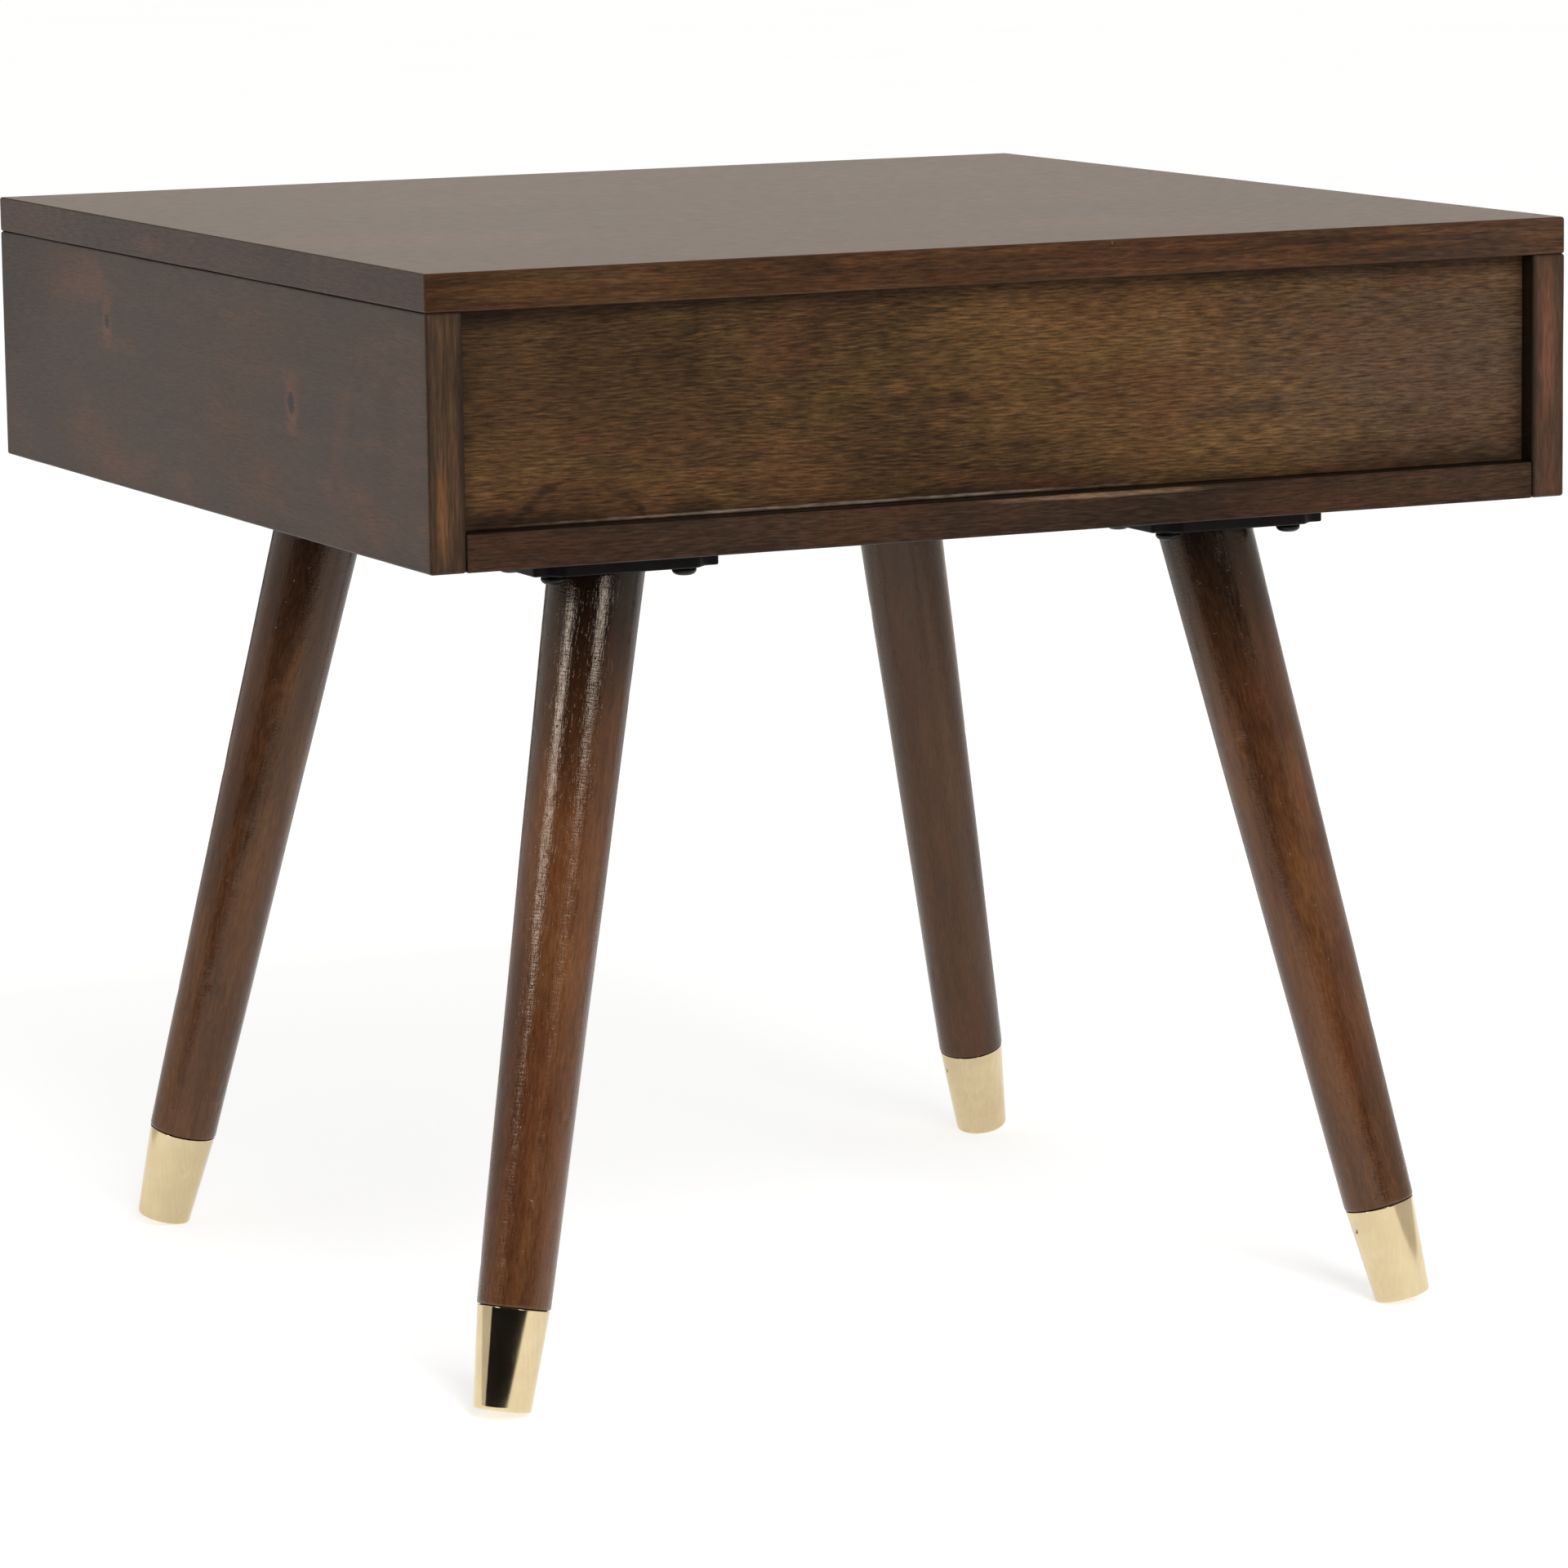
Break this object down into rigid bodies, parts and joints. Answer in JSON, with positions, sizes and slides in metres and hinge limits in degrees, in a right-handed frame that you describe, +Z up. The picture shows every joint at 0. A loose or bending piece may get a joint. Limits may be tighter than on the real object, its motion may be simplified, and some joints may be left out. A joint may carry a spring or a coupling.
{
  "type": "side table with drawer",
  "caption": "Low square side table: shallow case with a full-width drawer on ball slides, on splayed tapered round legs that end in metal caps.",
  "frame": {"origin": "on the floor, at the centre of the bounding box; the knob stands out 24 mm in front, so the case's own centre is 12 mm behind the origin (y = +0.012)", "axes": "+Z up; -Y is the front, the way the drawer opens; +X to the right of someone facing the front"},
  "size_m": [0.6, 0.624, 0.55],
  "materials": {
    "top_wood": "satin lacquer, grey-brown",
    "case_wood": "satin lacquer, dark brown",
    "back_wood": "thin lacquer, warm brown",
    "leg_wood": "semi-gloss lacquer, dark brown",
    "drawer_box_wood": "plain, light",
    "black_paint": "black paint on a wooden block",
    "black_steel": "black oxide",
    "zinc_steel": "zinc plated",
    "brass": "polished"
  },
  "bodies": {
    "case": {"top_panel": "top_wood", "side_panel_left": "case_wood", "side_panel_right": "case_wood", "bottom_panel": "case_wood", "back_panel": "back_wood", "leg_front_left": "leg_wood", "leg_cap_front_left": "brass", "cap_pin_front_left": "brass", "leg_block_front_left": "black_paint", "hanger_bolt_front_left": "zinc_steel", "block_bolt_front_left_1": "black_steel", "block_bolt_front_left_2": "black_steel", "block_bolt_front_left_3": "black_steel", "block_bolt_front_left_4": "black_steel", "leg_front_right": "leg_wood", "leg_cap_front_right": "brass", "cap_pin_front_right": "brass", "leg_block_front_right": "black_paint", "hanger_bolt_front_right": "zinc_steel", "block_bolt_front_right_1": "black_steel", "block_bolt_front_right_2": "black_steel", "block_bolt_front_right_3": "black_steel", "block_bolt_front_right_4": "black_steel", "leg_back_left": "leg_wood", "leg_cap_back_left": "brass", "cap_pin_back_left": "brass", "leg_block_back_left": "black_paint", "hanger_bolt_back_left": "zinc_steel", "block_bolt_back_left_1": "black_steel", "block_bolt_back_left_2": "black_steel", "block_bolt_back_left_3": "black_steel", "block_bolt_back_left_4": "black_steel", "leg_back_right": "leg_wood", "leg_cap_back_right": "brass", "cap_pin_back_right": "brass", "leg_block_back_right": "black_paint", "hanger_bolt_back_right": "zinc_steel", "block_bolt_back_right_1": "black_steel", "block_bolt_back_right_2": "black_steel", "block_bolt_back_right_3": "black_steel", "block_bolt_back_right_4": "black_steel", "slide_outer_left": "zinc_steel", "slide_outer_right": "zinc_steel"},
    "slide_middles": {"slide_middle_left": "zinc_steel", "slide_middle_right": "zinc_steel"},
    "drawer": {"drawer_front": "case_wood", "drawer_box_front": "drawer_box_wood", "drawer_box_back": "drawer_box_wood", "drawer_side_left": "drawer_box_wood", "drawer_side_right": "drawer_box_wood", "drawer_bottom": "drawer_box_wood", "drawer_knob": "brass", "knob_screw": "zinc_steel", "front_screw_left": "zinc_steel", "front_screw_right": "zinc_steel", "slide_inner_left": "zinc_steel", "slide_inner_right": "zinc_steel"}
  },
  "joints": [
    {"name": "drawer_slide", "type": "slide", "parent": "case", "child": "drawer", "axis": [0, -1, 0], "range_m": [0, 0.48]},
    {"name": "slide_middle_travel", "type": "slide", "parent": "case", "child": "slide_middles", "axis": [0, -1, 0], "range_m": [0, 0.24]}
  ],
  "couplings": [
    {"joint": "slide_middle_travel", "follows": "drawer_slide", "ratio": 0.5}
  ]
}
